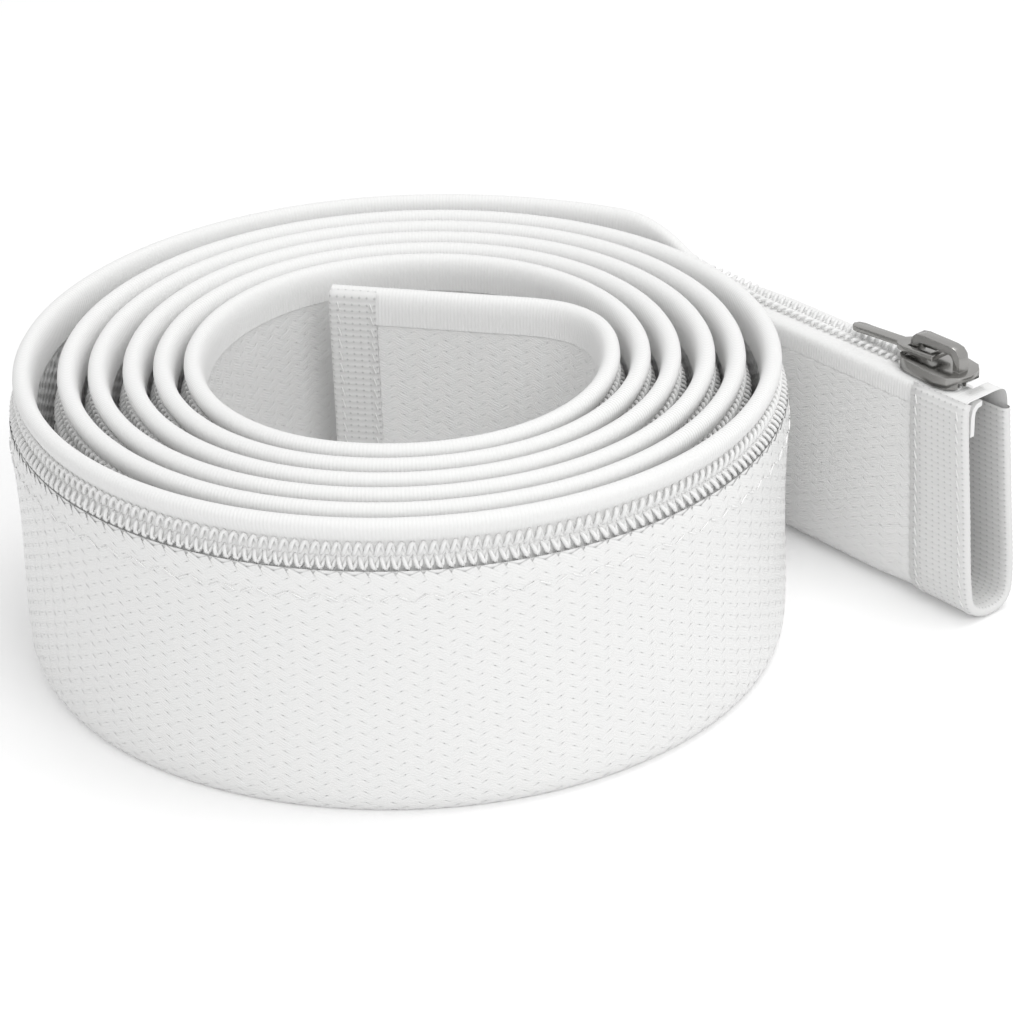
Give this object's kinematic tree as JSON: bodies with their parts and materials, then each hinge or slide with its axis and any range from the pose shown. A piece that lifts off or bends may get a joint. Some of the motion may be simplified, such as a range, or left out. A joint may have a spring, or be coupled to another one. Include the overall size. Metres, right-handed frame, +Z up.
{
  "type": "zippered cable sleeve",
  "caption": "Flat braided cable sleeve with a coil zipper along its top edge, wound into a loose roll, with a short straight tail that opens into a mouth beside the slider.",
  "frame": {"origin": "under the middle of the whole object's box, on the surface that the roll stands on", "axes": "+X along the straight tail towards its open mouth, +Y from the roll's eye towards the tail's side, +Z up, from the folded edge to the zipper"},
  "size_m": [0.1326, 0.1402, 0.051],
  "materials": {
    "braid": "white polyester monofilament braid, slightly glossy",
    "tape": "white ribbed woven tape, matte",
    "coil": "white nylon coil, satin",
    "nickel": "worn nickel plate"
  },
  "bodies": {
    "sleeve": {"braided_sleeve": "braid", "zipper_tape_inner": "tape", "zipper_tape_outer": "tape", "zipper_coil_inner": "coil", "zipper_coil_outer": "coil", "end_binding_tail": "tape", "end_binding_inner": "tape", "end_stop_tail": "coil", "end_stop_inner": "coil", "zipper_tape_end": "tape"},
    "slider": {"slider_body": "nickel"},
    "pull": {"pull_tab": "nickel"}
  },
  "joints": [
    {"name": "slider_travel", "type": "slide", "parent": "sleeve", "child": "slider", "axis": [1, 0, 0], "range_m": [-0.022, 0]},
    {"name": "pull_hinge", "type": "hinge", "parent": "slider", "child": "pull", "pos_m": [0.05209, 0.06401, 0.0445], "axis": [0, 1, 0], "range_deg": [0, 160]}
  ]
}
